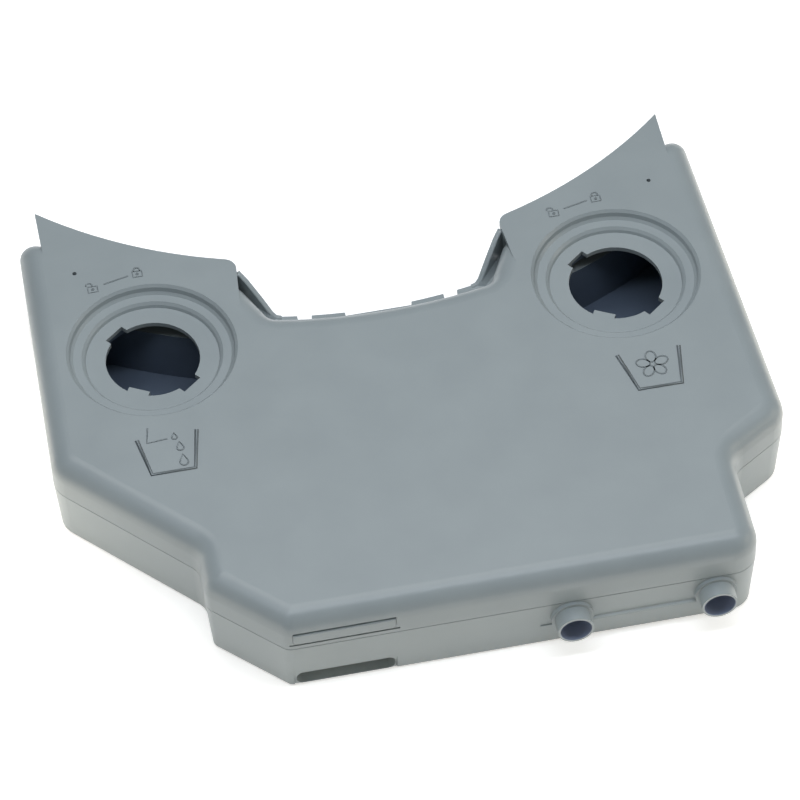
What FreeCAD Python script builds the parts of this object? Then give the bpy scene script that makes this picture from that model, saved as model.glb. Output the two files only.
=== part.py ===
"""Flat two-compartment dosing tank for a washing machine: detergent on the left, softener on the right.

Two moulded plastic shells meet on a level seam. The upper shell carries the filler dishes, the lower one
the two outlet spigots, and each outlet holds a spring-loaded shut-off valve.
Millimetres, Z up, the outlets face -Y. The origin lies on the underside, midway between the two fillers.
"""
import FreeCAD, Part
import math
import os
import re

import Sketcher
from FreeCAD import Placement, Rotation, Vector

SIZES = [
    ("tank_height", 48.5, "underside to top face"),
    ("seam_height", 29.1, "underside to the seam between the shells"),
    ("wall", 2.4, "moulded wall"),
    ("top_round", 10.0, "rounding along the top edge"),
    ("base_round", 1.5, "rounding along the bottom edge"),
    ("base_draft", 1.9, "walls of the lower shell lean in from the seam to the underside"),
    ("seam_bevel", 0.35, "bevel that marks the seam"),
    ("ring_offset", 258.0, "fillers to the axis of the door ring"),
    ("wing_radius", 233.0, "rear wall of the wings, about the ring axis"),
    ("recess_radius", 252.6, "rear wall between and below the wings"),
    ("recess_mouth_x", 62.0, "half width of the rear recess at the wings"),
    ("recess_base_x", 51.0, "half width of the rear recess at its base"),
    ("recess_round", 7.0, "corners of the rear recess"),
    ("rear_corner_x", 158.4, "half width at the rear corners"),
    ("rear_corner_y", 70.4, "fillers back to the line of the rear corners"),
    ("rear_corner_round", 6.5, "rear corners"),
    ("left_side_x", 162.1, "centre plane to the left side corner"),
    ("right_side_x", 165.0, "centre plane to the right side corner"),
    ("side_corner_round", 14.0, "side corners"),
    ("left_side_y", 56.5, "fillers forward to the left side corner"),
    ("right_side_y", 93.0, "fillers forward to the right side corner"),
    ("left_step_x", 106.5, "left step from the centre plane"),
    ("left_step_rear_y", 114.3, "fillers forward to the back of the left step"),
    ("left_step_front_y", 135.0, "fillers forward to the front of the left step"),
    ("left_step_inner_round", 9.0, "hollow corner of the left step"),
    ("left_step_outer_round", 6.2, "outer corners of the left step"),
    ("nose_left_x", 75.8, "left end of the front wall"),
    ("nose_right_x", 135.7, "right end of the front wall"),
    ("nose_right_round", 12.0, "right front corner and the hollow corner behind it"),
    ("right_step_y", 111.6, "fillers forward to the right step"),
    ("front_y", 164.8, "fillers forward to the front wall"),
    ("flange_radius", 222.0, "rear edge of the flange, about the ring axis"),
    ("flange_thickness", 2.6, "flange"),
    ("ear_x", 147.9, "half width over the ears of the flange"),
    ("flange_root", 16.0, "overlap of the flange on the top face"),
    ("flange_taper", 2.5, "widening of the gap between the flange ends towards the front"),
    ("flange_end_x", 61.5, "half width between the ends of the flange"),
    ("flange_end_round", 6.0, "rear corner at the end of the flange"),
    ("web_thickness", 2.0, "sloping web at the end of the flange"),
    ("web_foot_x", 48.6, "half width between the feet of the webs"),
    ("web_foot_y", 23.0, "fillers back to the feet of the webs"),
    ("web_toe", 2.0, "height of the web at its foot"),
    ("shelf_radius", 239.4, "rear edge of the shelf in the recess, about the ring axis"),
    ("shelf_inset", 0.4, "set-back of the shelf from the wall above"),
    ("shelf_step", 6.0, "widening of the shelf from the recess to the wings"),
    ("shelf_thickness", 2.4, "shelf under the wings and in the recess"),
    ("shelf_notch_x", 34.3, "centre plane to the middle of each shelf notch"),
    ("shelf_notch_width", 6.6, "shelf notch"),
    ("shelf_notch_depth", 5.0, "shelf notch"),
    ("shelf_relief_width", 31.2, "shallow relief at the middle of the shelf"),
    ("shelf_relief_depth", 1.5, "shallow relief at the middle of the shelf"),
    ("filler_x", 107.7, "centre plane to each filler"),
    ("dish_rim_radius", 38.4, "rim of the filler dish"),
    ("dish_ledge_radius", 37.2, "foot of the dish wall"),
    ("dish_ledge_depth", 4.4, "top face to the ledge of the dish"),
    ("dish_plate_radius", 31.0, "round plate at the bottom of the dish"),
    ("dish_plate_depth", 7.0, "top face to the plate of the dish"),
    ("dish_lip_round", 1.2, "rounded lips of the dish"),
    ("opening_radius", 21.5, "filler opening"),
    ("notch_radius", 24.0, "reach of the two cap notches"),
    ("notch_width", 10.6, "cap notch"),
    ("notch_angle", 129.0, "direction of the rear cap notch"),
    ("lug_radius", 18.5, "reach of the cap stop towards the middle"),
    ("lug_width", 10.0, "cap stop"),
    ("lug_angle", -118.0, "direction of the cap stop"),
    ("skirt_radius", 26.0, "inside of the skirt below the opening"),
    ("skirt_wall", 2.0, "skirt below the opening"),
    ("skirt_depth", 5.0, "skirt below the opening"),
    ("vent_x", 135.3, "centre plane to each vent"),
    ("vent_y", 52.1, "fillers back to the vents"),
    ("vent_diameter", 2.0, "vent"),
    ("divider_wall", 2.2, "wall between the compartments"),
    ("divider_rear_x", 20.0, "centre plane to the rear end of the divider"),
    ("divider_front_x", 85.0, "centre plane to the front end of the divider"),
    ("catch_left_x", 73.5, "left end of the catch"),
    ("catch_width", 46.0, "catch and the notch below it"),
    ("catch_rise", 3.4, "seam to the lip of the catch"),
    ("catch_height", 7.5, "sloping face of the catch, sunk into the front wall at its top"),
    ("catch_depth", 1.5, "depth of the catch face at its top and of the slot under its lip"),
    ("catch_slot_height", 0.9, "slot under the lip of the catch"),
    ("catch_slot_lead", 1.5, "slot past each end of the catch"),
    ("catch_notch_height", 10.5, "notch in the bottom edge"),
    ("catch_notch_depth", 7.0, "notch in the bottom edge"),
    ("outlet_left_x", 50.6, "centre plane to the detergent outlet"),
    ("outlet_right_x", 115.3, "centre plane to the softener outlet"),
    ("outlet_height", 19.4, "underside to the outlet axes"),
    ("rib_height", 13.6, "underside to the fine rib between the outlets"),
    ("rib_thickness", 0.8, "fine rib"),
    ("rib_setback", 0.3, "set-back of the fine rib from the front wall at the seam"),
    ("rib_lead", 14.0, "length of the fine rib beyond the detergent outlet"),
    ("spigot_radius", 8.1, "outside of the spigot"),
    ("spigot_bore", 7.0, "inside radius of the spigot"),
    ("spigot_reach", 8.5, "front wall to the mouth of the spigot"),
    ("collar_radius", 9.5, "collar at the root of the spigot"),
    ("collar_reach", 1.6, "front wall to the face of the collar"),
    ("seat_setback", 12.0, "mouth of the spigot to the valve seat"),
    ("seat_thickness", 2.5, "ring that the valve closes on"),
    ("seat_bore", 4.5, "radius of the hole through the seat"),
    ("chamber_radius", 7.0, "inside of the valve chamber"),
    ("chamber_wall", 2.0, "valve chamber"),
    ("seal_thickness", 1.2, "rubber seal on the valve head"),
    ("seal_radius", 5.9, "rubber seal on the valve head"),
    ("head_radius", 5.7, "valve head"),
    ("head_thickness", 1.8, "valve head"),
    ("stem_radius", 1.8, "valve stem"),
    ("stem_reach", 5.0, "valve seat to the outer tip of the stem"),
    ("stem_clearance", 0.08, "stem in its guide"),
    ("valve_travel", 4.0, "opening stroke of the valve"),
    ("valve_overrun", 1.0, "open valve head to the cage"),
    ("spring_wire", 0.6, "width of the square spring wire"),
    ("spring_radius", 3.9, "outside of the spring"),
    ("spring_turns", 5.0, "turns of the spring"),
    ("cage_length", 9.0, "chamber to the back of the cage"),
    ("cage_wall", 1.5, "valve cage"),
    ("cage_lip", 3.0, "depth of the cage plug in the chamber"),
    ("cage_window_width", 5.0, "flow window in the cage"),
    ("cage_windows", 4.0, "number of flow windows"),
    ("guide_length", 6.0, "guide of the stem in the cage"),
    ("guide_wall", 1.2, "guide of the stem in the cage"),
]

ORIGIN = (-1, 1)
UPRIGHT_AXIS = -2
START, END, MIDDLE = 1, 2, 3
LEVEL_WITHIN = 1e-4

doc = FreeCAD.newDocument("dosing_tank")
sheet = doc.addObject("Spreadsheet::Sheet", "Sizes")
for row, (alias, number, meaning) in enumerate(SIZES, start=1):
    sheet.set(f"A{row}", meaning)
    sheet.set(f"B{row}", str(number))
    sheet.setAlias(f"B{row}", alias)
doc.recompute()
size_names = {alias for alias, number, meaning in SIZES}


def on_sheet(formula):
    """Write each size in a formula as its cell of the sheet."""
    def cell(word):
        return f"Sizes.{word[0]}" if word[0] in size_names else word[0]

    return re.sub(r"[a-z_]+", cell, formula)


def value(formula):
    """The present value of a formula on the sheet."""
    return float(sheet.evalExpression(on_sheet(formula)))


def tie(thing, setting, formula):
    """Bind a property of an object to the sheet."""
    thing.setExpression(setting, on_sheet(formula))


def new_body(label):
    body = doc.addObject("PartDesign::Body", label)
    body.Label = label
    return body


def origin_plane(body, role):
    return next(plane for plane in body.Origin.OriginFeatures if plane.Role == role)


def new_sketch(body, name, role, shift=None, turn=None):
    """A sketch on an origin plane. shift holds formulas for local x, y and z, turn an axis and an angle."""
    sketch = body.newObject("Sketcher::SketchObject", f"{body.Name}_{name}")
    sketch.AttachmentSupport = [(origin_plane(body, role), "")]
    sketch.MapMode = "FlatFace"
    if turn:
        axis, angle = turn
        sketch.AttachmentOffset = Placement(Vector(), Rotation(axis, 1.0))
        tie(sketch, "AttachmentOffset.Rotation.Angle", angle)
    for direction, formula in (shift or {}).items():
        tie(sketch, f"AttachmentOffset.Base.{direction}", formula)
    return sketch


def dimension(sketch, kind, where, formula):
    """Add one dimension to a sketch and bind it to the sheet."""
    index = sketch.addConstraint(Sketcher.Constraint(kind, *where, value(formula)))
    tie(sketch, f"Constraints[{index}]", formula)


def pin(sketch, point, x, y):
    """Hold a point of a sketch at two coordinates, each a formula, or None where it is free."""
    for kind, formula in (("DistanceX", x), ("DistanceY", y)):
        if formula is not None:
            dimension(sketch, kind, ORIGIN + point, formula)


def ring_crossing(start, through, radius):
    """The point where the line from start through another point meets a circle about the ring axis."""
    along = (through - start).normalize()
    to_axis = start - Vector(0, value("ring_offset"), 0)
    half = to_axis.dot(along)
    return start + along * (-half - math.sqrt(half ** 2 - to_axis.dot(to_axis) + radius ** 2))


def draw_outline(sketch, corners, ring_arcs=None):
    """Draw a closed outline through corners (x, y, round), each a formula or None.

    Edge i runs from corner i to the next one. It is straight, unless ring_arcs gives it a radius about the
    ring axis. A corner with no y lies on its ring arc. A corner beside a ring arc that has both x and y is
    a point on its straight edge, which runs on to the arc.
    """
    arcs = ring_arcs or {}
    count = len(corners)
    axis = Vector(0, value("ring_offset"), 0)
    beside = [[edge for edge in ((i - 1) % count, i) if edge in arcs] for i in range(count)]
    points = []
    for (x, y, _), edges in zip(corners, beside):
        across = value(x)
        if y is None:
            points.append(Vector(across, axis.y - math.sqrt(value(arcs[edges[0]]) ** 2 - across ** 2), 0))
        else:
            points.append(Vector(across, value(y), 0))
    guides = list(points)
    for i, edges in enumerate(beside):
        if edges and corners[i][1] is not None:
            straight_side = (i + 1) % count if (i - 1) % count in arcs else i - 1
            points[i] = ring_crossing(points[straight_side], guides[i], value(arcs[edges[0]]))

    def heading(i, edge, other):
        if edge not in arcs:
            return (points[other] - points[i]).normalize()
        spoke = points[i] - axis
        tangent = Vector(-spoke.y, spoke.x, 0).normalize()
        return tangent if tangent.dot(points[other] - points[i]) > 0 else tangent * -1

    ends = []
    for i, (_, _, rounding) in enumerate(corners):
        back = heading(i, (i - 1) % count, (i - 1) % count)
        ahead = heading(i, i, (i + 1) % count)
        if rounding is None:
            ends.append((points[i], points[i], None, 0))
            continue
        radius = value(rounding)
        half_angle = back.getAngle(ahead) / 2
        reach = radius / math.tan(half_angle)
        centre = points[i] + (back + ahead).normalize() * (radius / math.sin(half_angle))
        ends.append((points[i] + back * reach, points[i] + ahead * reach, centre, radius))

    edge_ends = []
    for i in range(count):
        first, last = ends[i][1], ends[(i + 1) % count][0]
        if i not in arcs:
            edge_ends.append((sketch.addGeometry(Part.LineSegment(first, last)), START, END))
            continue
        circle = Part.Circle(axis, Vector(0, 0, 1), value(arcs[i]))
        turns = [math.atan2(point.y - axis.y, point.x - axis.x) for point in (first, last)]
        edge = sketch.addGeometry(Part.ArcOfCircle(circle, min(turns), max(turns)))
        edge_ends.append((edge, START, END) if turns[0] < turns[1] else (edge, END, START))
        sketch.addConstraint(Sketcher.Constraint("PointOnObject", edge, MIDDLE, UPRIGHT_AXIS))
        dimension(sketch, "DistanceY", ORIGIN + (edge, MIDDLE), "ring_offset")
        dimension(sketch, "Radius", (edge,), arcs[i])

    for i, (x, y, rounding) in enumerate(corners):
        before, _, before_end = edge_ends[i - 1]
        after, after_start, _ = edge_ends[i]
        if rounding is None:
            sketch.addConstraint(Sketcher.Constraint("Coincident", before, before_end, after, after_start))
            pin(sketch, (after, after_start), x, y)
            continue
        first, last, centre, radius = ends[i]
        turns = [math.atan2(point.y - centre.y, point.x - centre.x) for point in (first, last)]
        leftward = (first - centre).cross(last - centre).z > 0
        begin, finish = turns if leftward else reversed(turns)
        if finish < begin:
            finish += 2 * math.pi
        circle = Part.Circle(centre, Vector(0, 0, 1), radius)
        arc = sketch.addGeometry(Part.ArcOfCircle(circle, begin, finish))
        arc_first, arc_last = (START, END) if leftward else (END, START)
        sketch.addConstraint(Sketcher.Constraint("Tangent", before, before_end, arc, arc_first))
        sketch.addConstraint(Sketcher.Constraint("Tangent", arc, arc_last, after, after_start))
        dimension(sketch, "Radius", (arc,), rounding)
        corner = sketch.addGeometry(Part.Point(guides[i]), True)
        is_guide = bool(beside[i]) and y is not None
        for edge, geometry in (((i - 1) % count, before), (i, after)):
            if not (is_guide and edge in arcs):
                sketch.addConstraint(Sketcher.Constraint("PointOnObject", corner, START, geometry))
        pin(sketch, (corner, START), x, y)
    return sketch


def draw_circles(sketch, centres, radius):
    for x, y in centres:
        centre = Vector(value(x), value(y), 0)
        circle = sketch.addGeometry(Part.Circle(centre, Vector(0, 0, 1), value(radius)))
        pin(sketch, (circle, MIDDLE), x, y)
        dimension(sketch, "Radius", (circle,), radius)


def draw_axis(sketch, x1, y1, x2, y2):
    """A construction line for a revolved profile to turn about."""
    ends = Vector(value(x1), value(y1), 0), Vector(value(x2), value(y2), 0)
    line = sketch.addGeometry(Part.LineSegment(*ends), True)
    pin(sketch, (line, START), x1, y1)
    pin(sketch, (line, END), x2, y2)


def add_feature(body, kind, name, **settings):
    feature = body.newObject(f"PartDesign::{kind}", f"{body.Name}_{name}")
    for setting, content in settings.items():
        setattr(feature, setting, content)
    return feature


def pad(body, sketch, name, length, **settings):
    feature = add_feature(body, "Pad", name, Profile=sketch, **settings)
    tie(feature, "Length", length)
    return feature


def cut_pocket(body, sketch, name, length, **settings):
    before = body.Shape.Volume
    feature = add_feature(body, "Pocket", name, Profile=sketch, **settings)
    tie(feature, "Length", length)
    doc.recompute()
    if body.Shape.Volume >= before:
        raise RuntimeError(f"{feature.Name} cuts nothing")
    return feature


def revolve(body, sketch, name, kind="Revolution"):
    return add_feature(body, kind, name, Profile=sketch, ReferenceAxis=(sketch, ["Axis0"]), Angle=360.0)


def edges_at(shape, height):
    """Names of the edges that lie level at a height."""
    return [f"Edge{i}" for i, edge in enumerate(shape.Edges, start=1)
            if all(abs(z - height) < LEVEL_WITHIN for z in (edge.BoundBox.ZMin, edge.BoundBox.ZMax))]


def face_at(shape, height):
    """Name of the largest level face at a height."""
    level = [(face.Area, f"Face{i}") for i, face in enumerate(shape.Faces, start=1)
             if all(abs(z - height) < LEVEL_WITHIN for z in (face.BoundBox.ZMin, face.BoundBox.ZMax))]
    return max(level)[1]


def mirror_across(body, feature, name):
    """The same feature on the other side of the centre plane."""
    copy = add_feature(body, "Mirrored", name, Originals=[feature])
    copy.MirrorPlane = (origin_plane(body, "YZ_Plane"), [""])
    body.Tip = copy
    return copy


FRONT_CORNERS = [
    ("-nose_left_x", "-front_y", "left_step_outer_round"),
    ("nose_right_x", "-front_y", "nose_right_round"),
    ("nose_right_x", "-right_step_y", "nose_right_round"),
    ("right_side_x", "-right_side_y", "side_corner_round"),
]
LEFT_CORNERS = [
    ("-left_side_x", "-left_side_y", "side_corner_round"),
    ("-left_step_x", "-left_step_rear_y", "left_step_inner_round"),
    ("-left_step_x", "-left_step_front_y", "left_step_outer_round"),
]
RIGHT_REAR = ("rear_corner_x", "rear_corner_y", "rear_corner_round")
LEFT_REAR = ("-rear_corner_x", "rear_corner_y", "rear_corner_round")


def round_edges(body, base, name, edges, radius):
    feature = add_feature(body, "Fillet", name, Base=(base, edges))
    tie(feature, "Radius", radius)
    doc.recompute()
    return feature


def bevel_rim(body, base, height):
    """A small bevel round the outside of the seam face, so that the joint shows as a fine line."""
    rim = base.Shape.getElement(face_at(base.Shape, height)).OuterWire.Edges
    names = [f"Edge{i}" for i, edge in enumerate(base.Shape.Edges, start=1)
             if any(edge.isSame(other) for other in rim)]
    feature = add_feature(body, "Chamfer", "seam_edge", Base=(base, names))
    tie(feature, "Size", "seam_bevel")
    doc.recompute()


def lean_walls(body, base):
    """Draft on every upright wall of a block that stands on the underside, hinged at the seam."""
    seam = face_at(base.Shape, value("seam_height"))
    walls = [f"Face{i}" for i, face in enumerate(base.Shape.Faces, start=1)
             if face.BoundBox.ZLength > LEVEL_WITHIN]
    draft = add_feature(body, "Draft", "wall_draft", Base=(base, walls),
                        NeutralPlane=(base, [seam]), Reversed=True)
    tie(draft, "Angle", "atan(base_draft / seam_height)")
    doc.recompute()
    return draft


def hollow(body, base, open_height):
    """Turn a block into a wall of even thickness, open at one level face."""
    shell = add_feature(body, "Thickness", "hollow", Base=(base, [face_at(base.Shape, open_height)]))
    shell.Reversed = True
    tie(shell, "Value", "wall")
    doc.recompute()
    return shell


def add_divider(body, low_end, high_end):
    """The slanting wall between the compartments, from between the outlets to the rear recess.

    Each end is the same at the front and at the rear: inset from the outside of the tank, height, rounding.
    """
    rear_y = "(ring_offset - sqrt(recess_radius^2 - divider_rear_x^2))"
    across = "(divider_rear_x - divider_front_x)"
    along = f"(front_y + {rear_y})"
    place = {"x": "divider_front_x", "z": "front_y"}
    turn = (Vector(0, 1, 0), f"atan2({along}; {across})")
    side = new_sketch(body, "divider_section", "XZ_Plane", place, turn)
    run = f"sqrt({across}^2 + {along}^2)"
    rear_ends = [(f"{run} - ({inset})", height, rounding)
                 for inset, height, rounding in (low_end, high_end)]
    draw_outline(side, [high_end, low_end] + rear_ends)
    pad(body, side, "divider", "divider_wall", Midplane=True)
    doc.recompute()


def add_flange(body):
    """The thin rear flange of both wings, flush with the top, and the web that slopes down from its end."""
    plan = new_sketch(body, "flange_plan", "XY_Plane", {"z": "tank_height - flange_thickness"})
    root = "wing_radius + flange_root"
    corners = [
        ("ear_x", None, None),
        ("ear_x", None, None),
        ("flange_end_x", None, "flange_end_round"),
        ("flange_end_x + flange_taper", None, None),
    ]
    draw_outline(plan, corners, {1: "flange_radius", 3: root})
    mirror_across(body, pad(body, plan, "flange", "flange_thickness"), "flange_pair")
    doc.recompute()

    head_x = "(flange_end_x - web_foot_x)"
    head_y = "(ring_offset - sqrt((flange_radius + flange_end_round)^2 - flange_end_x^2) - web_foot_y)"
    place = {"x": "web_foot_x", "z": "-web_foot_y"}
    turn = (Vector(0, 1, 0), f"atan2({head_y}; {head_x})")
    side = new_sketch(body, "web_section", "XZ_Plane", place, turn)
    run = f"sqrt({head_x}^2 + {head_y}^2)"
    draw_outline(side, [
        ("0", "seam_height", None),
        (run, "seam_height", None),
        (run, "tank_height - flange_thickness / 2", None),
        ("0", "seam_height + web_toe", None),
    ])
    mirror_across(body, pad(body, side, "web", "web_thickness", Midplane=True), "web_pair")
    doc.recompute()


def add_filler(body, side, sign):
    """One sunken dish with its bayonet opening, turned about the upright filler axis."""
    axis_x = f"{sign} * filler_x"

    def section(name, outline):
        sketch = new_sketch(body, f"{side}_{name}", "XZ_Plane")
        draw_axis(sketch, axis_x, "0", axis_x, "tank_height")
        corners = [(f"{axis_x} + {r}", f"tank_height - {depth}", None) for r, depth in outline]
        return draw_outline(sketch, corners)

    plate_back = "(dish_plate_depth + wall)"
    skirt_end = "(dish_plate_depth + wall + skirt_depth)"
    bowl = section("bowl_section", [
        ("0", "wall / 2"),
        ("0", plate_back),
        ("skirt_radius", plate_back),
        ("skirt_radius", skirt_end),
        ("skirt_radius + skirt_wall", skirt_end),
        ("skirt_radius + skirt_wall", plate_back),
        ("dish_plate_radius + wall", plate_back),
        ("dish_plate_radius + wall", "(dish_ledge_depth + wall)"),
        ("dish_rim_radius + wall / 2", "(dish_ledge_depth + wall)"),
        ("dish_rim_radius + wall / 2", "wall / 2"),
    ])
    revolve(body, bowl, f"{side}_bowl")
    dish = section("dish_section", [
        ("0", "(-wall)"),
        ("0", "dish_plate_depth"),
        ("dish_plate_radius - dish_lip_round / 2", "dish_plate_depth"),
        ("dish_plate_radius", "(dish_ledge_depth + dish_lip_round)"),
        ("dish_plate_radius + dish_lip_round", "dish_ledge_depth"),
        ("dish_ledge_radius - dish_lip_round", "dish_ledge_depth"),
        ("dish_ledge_radius", "(dish_ledge_depth - dish_lip_round)"),
        ("dish_rim_radius - dish_lip_round / 2", "dish_lip_round"),
        ("dish_rim_radius + dish_lip_round / 2", "0"),
        ("dish_rim_radius + dish_lip_round / 2", "(-wall)"),
    ])
    revolve(body, dish, f"{side}_dish", "Groove")
    doc.recompute()

    level = "tank_height - dish_plate_depth"
    through = "wall + skirt_depth / 2"
    opening = new_sketch(body, f"{side}_opening_plan", "XY_Plane", {"z": level})
    draw_circles(opening, [(axis_x, "0")], "opening_radius")
    cut_pocket(body, opening, f"{side}_opening", through)

    def spoke(name, angle, inner, outer, width):
        place = {"x": axis_x, "z": level}
        sketch = new_sketch(body, f"{side}_{name}_plan", "XY_Plane", place, (Vector(0, 0, 1), angle))
        half = f"{width} / 2"
        return draw_outline(sketch, [
            (inner, f"-{half}", None),
            (outer, f"-{half}", None),
            (outer, half, None),
            (inner, half, None),
        ])

    for name, angle in (("rear_notch", "notch_angle"), ("front_notch", "notch_angle - 180")):
        notch = spoke(name, angle, "opening_radius - notch_width / 2", "notch_radius", "notch_width")
        cut_pocket(body, notch, f"{side}_{name}", through)
    lug = spoke("lug", "lug_angle", "lug_radius", "notch_radius", "lug_width")
    pad(body, lug, f"{side}_lug", "wall", Reversed=True)
    doc.recompute()


def make_upper_shell():
    """The upper moulding: rounded top, two filler dishes, rear flange with ears, and the front catch."""
    body = new_body("upper_shell")
    recess = [
        ("recess_mouth_x", None, "recess_round"),
        ("recess_base_x", None, "recess_round"),
        ("-recess_base_x", None, "recess_round"),
        ("-recess_mouth_x", None, "recess_round"),
    ]
    outline = new_sketch(body, "outline", "XY_Plane", {"z": "seam_height"})
    corners = FRONT_CORNERS + [RIGHT_REAR] + recess + [LEFT_REAR] + LEFT_CORNERS
    draw_outline(outline, corners, {4: "wing_radius", 6: "recess_radius", 8: "wing_radius"})
    block = pad(body, outline, "block", "tank_height - seam_height")
    doc.recompute()
    rounded = round_edges(body, block, "top_edge", edges_at(block.Shape, value("tank_height")), "top_round")
    shell = hollow(body, rounded, value("seam_height"))
    bevel_rim(body, shell, value("seam_height"))
    under_top = ("wall / 2", "tank_height - wall / 2", "top_round - wall / 2")
    add_divider(body, ("wall / 2", "seam_height", None), under_top)
    add_flange(body)
    for side, sign in (("detergent", -1), ("softener", 1)):
        add_filler(body, side, sign)

    vents = new_sketch(body, "vent_plan", "XY_Plane", {"z": "tank_height"})
    draw_circles(vents, [("-vent_x", "vent_y"), ("vent_x", "vent_y")], "vent_diameter / 2")
    cut_pocket(body, vents, "vents", "2 * flange_thickness")

    lip = "seam_height + catch_rise"
    catch = new_sketch(body, "catch_section", "YZ_Plane", {"z": "-catch_left_x"})
    draw_outline(catch, [
        ("-front_y - wall", lip, None),
        ("-front_y", lip, None),
        ("-front_y + catch_depth", f"{lip} + catch_height", None),
        ("-front_y - wall", f"{lip} + catch_height", None),
    ])
    cut_pocket(body, catch, "catch_face", "catch_width", Reversed=True)
    slot = new_sketch(body, "catch_slot_section", "YZ_Plane", {"z": "-catch_left_x - catch_slot_lead"})
    draw_outline(slot, [
        ("-front_y - wall", f"{lip} - catch_slot_height", None),
        ("-front_y + catch_depth", f"{lip} - catch_slot_height", None),
        ("-front_y + catch_depth", lip, None),
        ("-front_y - wall", lip, None),
    ])
    cut_pocket(body, slot, "catch_slot", "catch_width + 2 * catch_slot_lead", Reversed=True)
    return body


def add_shelf(body):
    """The level shelf that closes the wings from below and shows as a notched edge in the rear recess."""
    place = {"z": "seam_height - shelf_thickness"}
    side = "(rear_corner_x - shelf_inset)"
    root = "recess_radius + wall / 2"
    wing = "wing_radius + shelf_inset"
    half = [
        (side, None, None),
        (side, "rear_corner_y", "rear_corner_round"),
        ("web_foot_x + shelf_step", None, None),
        ("web_foot_x", None, None),
    ]
    other_half = [(f"-({x})", y, rounding) for x, y, rounding in reversed(half)]
    plan = new_sketch(body, "shelf_plan", "XY_Plane", place)
    draw_outline(plan, half + other_half, {1: wing, 3: "shelf_radius", 5: wing, 7: root})
    pad(body, plan, "shelf", "shelf_thickness")
    doc.recompute()

    cuts = [("left_notch", "-shelf_notch_x", "shelf_notch_width", "shelf_notch_depth"),
            ("right_notch", "shelf_notch_x", "shelf_notch_width", "shelf_notch_depth"),
            ("relief", "0", "shelf_relief_width", "shelf_relief_depth")]
    for name, middle, width, depth in cuts:
        edge_y = f"ring_offset - sqrt(shelf_radius^2 - ({middle})^2)"
        sketch = new_sketch(body, f"shelf_{name}_plan", "XY_Plane", {"z": "seam_height"})
        draw_outline(sketch, [
            (f"{middle} - {width} / 2", f"{edge_y} - {depth}", None),
            (f"{middle} + {width} / 2", f"{edge_y} - {depth}", None),
            (f"{middle} + {width} / 2", f"{edge_y} + {depth}", None),
            (f"{middle} - {width} / 2", f"{edge_y} + {depth}", None),
        ])
        cut_pocket(body, sketch, f"shelf_{name}", "shelf_thickness")


MOUTH_Y = "(-front_y - spigot_reach)"
SEAT_FRONT_Y = f"({MOUTH_Y} + seat_setback)"
SEAT_Y = f"({SEAT_FRONT_Y} + seat_thickness)"
HEAD_FRONT_Y = f"({SEAT_Y} + seal_thickness)"
HEAD_BACK_Y = f"({HEAD_FRONT_Y} + head_thickness)"
CHAMBER_END_Y = f"({HEAD_BACK_Y} + valve_travel + valve_overrun + cage_lip)"
CAGE_BACK_Y = f"({CHAMBER_END_Y} + cage_length)"
OUTLETS = [("detergent", "outlet_left_x"), ("softener", "outlet_right_x")]


def turned_section(body, name, outlet_x, outline):
    """A section to turn about an outlet's level axis: points (y, radius), each a formula."""
    sketch = new_sketch(body, name, "YZ_Plane", {"z": outlet_x})
    draw_axis(sketch, MOUTH_Y, "outlet_height", CAGE_BACK_Y, "outlet_height")
    return draw_outline(sketch, [(y, f"outlet_height + {r}", None) for y, r in outline])


def add_outlet(body, side, outlet_x):
    """One outlet: a spigot with a collar outside, a valve seat, and a valve chamber inside the tank."""
    chamber_outside = "chamber_radius + chamber_wall"
    tube = turned_section(body, f"{side}_outlet_section", outlet_x, [
        (MOUTH_Y, "0"),
        (MOUTH_Y, "spigot_radius"),
        ("-front_y - collar_reach", "spigot_radius"),
        ("-front_y - collar_reach", "collar_radius"),
        ("-front_y + wall", "collar_radius"),
        ("-front_y + wall", chamber_outside),
        (CHAMBER_END_Y, chamber_outside),
        (CHAMBER_END_Y, "0"),
    ])
    revolve(body, tube, f"{side}_outlet")
    bore = turned_section(body, f"{side}_bore_section", outlet_x, [
        (f"{MOUTH_Y} - wall", "0"),
        (f"{MOUTH_Y} - wall", "spigot_bore"),
        (SEAT_FRONT_Y, "spigot_bore"),
        (SEAT_FRONT_Y, "seat_bore"),
        (SEAT_Y, "seat_bore"),
        (SEAT_Y, "chamber_radius"),
        (f"{CHAMBER_END_Y} + wall", "chamber_radius"),
        (f"{CHAMBER_END_Y} + wall", "0"),
    ])
    revolve(body, bore, f"{side}_bore", "Groove")
    doc.recompute()


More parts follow.
